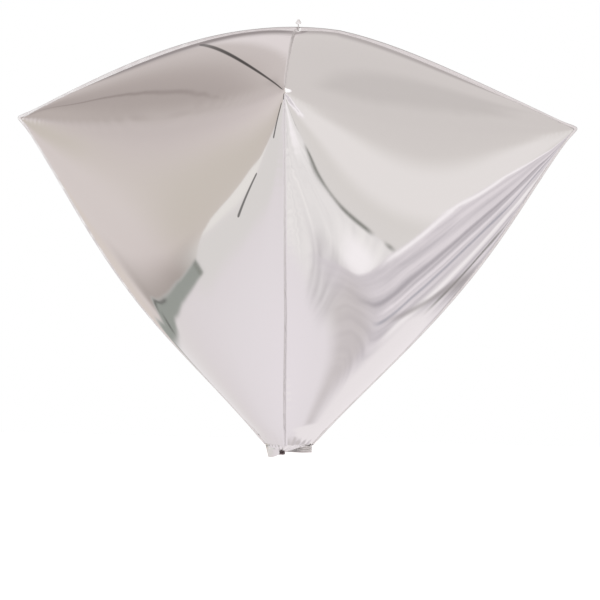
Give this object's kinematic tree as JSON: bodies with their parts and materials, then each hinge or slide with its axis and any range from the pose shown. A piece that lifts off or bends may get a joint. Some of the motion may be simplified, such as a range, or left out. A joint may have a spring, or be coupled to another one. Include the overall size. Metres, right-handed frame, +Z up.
{
  "type": "diamond foil balloon",
  "caption": "Silver mirror-finish foil balloon in a diamond form: foil panels welded along standing seams from a domed crown over the corners to a tied neck with a pleated tail",
  "frame": {"origin": "on the upright axis of the balloon, level with its four side corners; this is where the mount named air is", "axes": "+Z up, from the tied neck to the crown; the side corners point along -Y (front), +X (right), +Y (back) and -X (left)"},
  "size_m": [0.5394, 0.5394, 0.4217],
  "materials": {
    "mirror_foil": "metallised film, mirror bright, smooth, with fine creases beside the seams",
    "welded_foil": "two layers of metallised film welded flat, satin bright",
    "tie": "thin dark tie, matt"
  },
  "bodies": {
    "root": {"panel_front_left": "mirror_foil", "panel_front_right": "mirror_foil", "panel_back_left": "mirror_foil", "panel_back_right": "mirror_foil", "seam_front": "welded_foil", "seam_right": "welded_foil", "seam_back": "welded_foil", "seam_left": "welded_foil", "crown_tab": "welded_foil", "neck": "mirror_foil", "neck_tie": "tie", "tail": "mirror_foil", "tail_flap": "welded_foil"}
  },
  "joints": []
}
